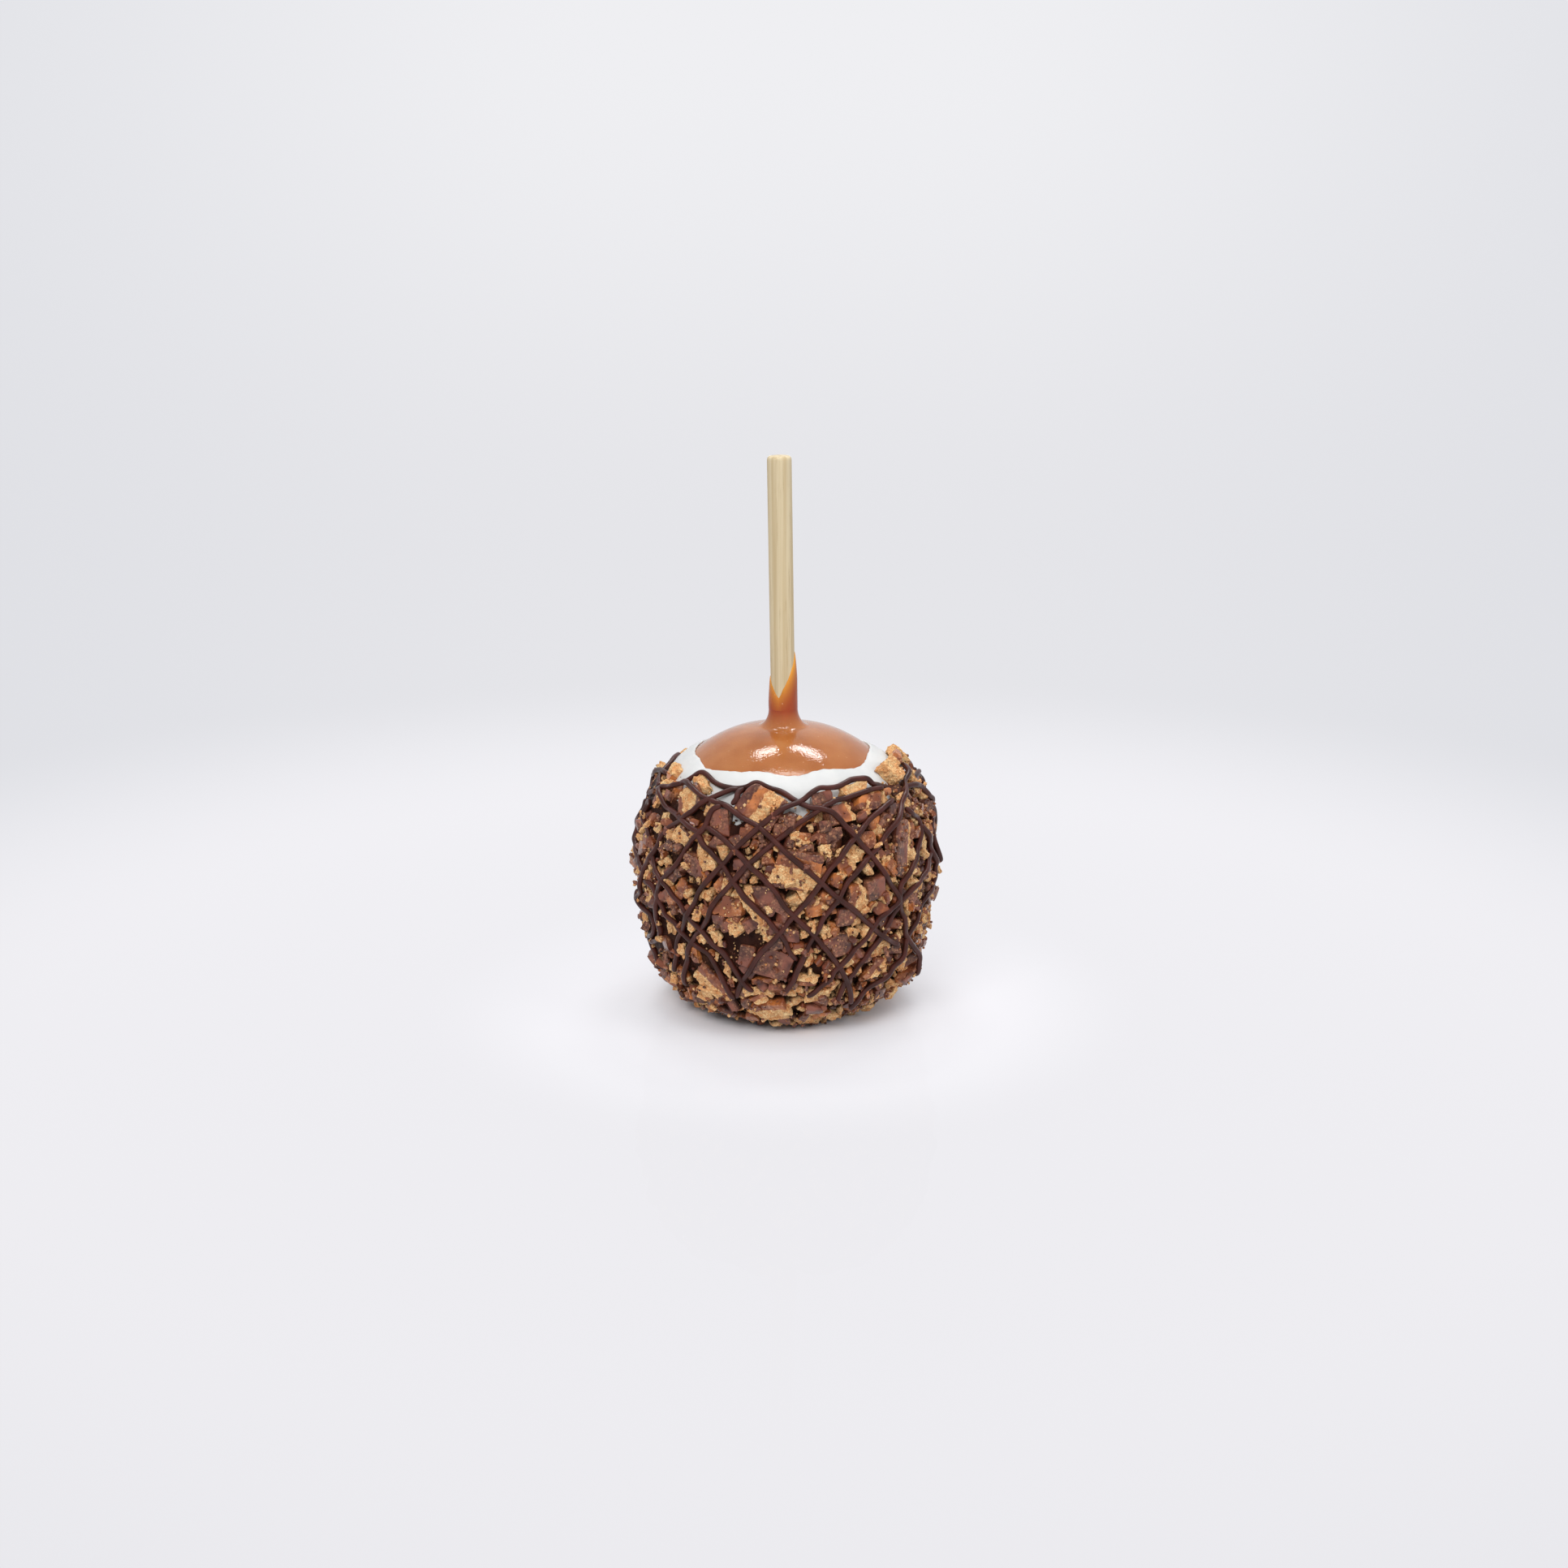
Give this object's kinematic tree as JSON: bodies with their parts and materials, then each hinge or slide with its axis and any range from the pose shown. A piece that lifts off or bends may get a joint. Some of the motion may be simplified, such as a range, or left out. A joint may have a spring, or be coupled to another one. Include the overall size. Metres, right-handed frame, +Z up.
{
  "type": "caramel apple",
  "caption": "Whole apple on a wooden stick, dipped in caramel and white coating, rolled in chopped biscuit-caramel bar and laced with dark chocolate drizzle.",
  "frame": {"origin": "middle of the flat foot that the apple rests on, on the floor", "axes": "+Z up along the stick, -Y towards the viewer, +X to the viewer's right"},
  "size_m": [0.0846, 0.085, 0.147],
  "materials": {
    "stick_wood": "plain smooth-sanded pale birch with fine grain",
    "caramel": "soft chewy caramel, smooth with a wet sheen and slight translucency",
    "white_coat": "set white confectionery coating, smooth and nearly matt",
    "candy_crust": "chopped milk-chocolate, caramel and biscuit bar under dark chocolate drizzle"
  },
  "bodies": {
    "root": {"stick": "stick_wood", "caramel": "caramel", "white_coat": "white_coat", "candy_crust": "candy_crust"}
  },
  "joints": []
}
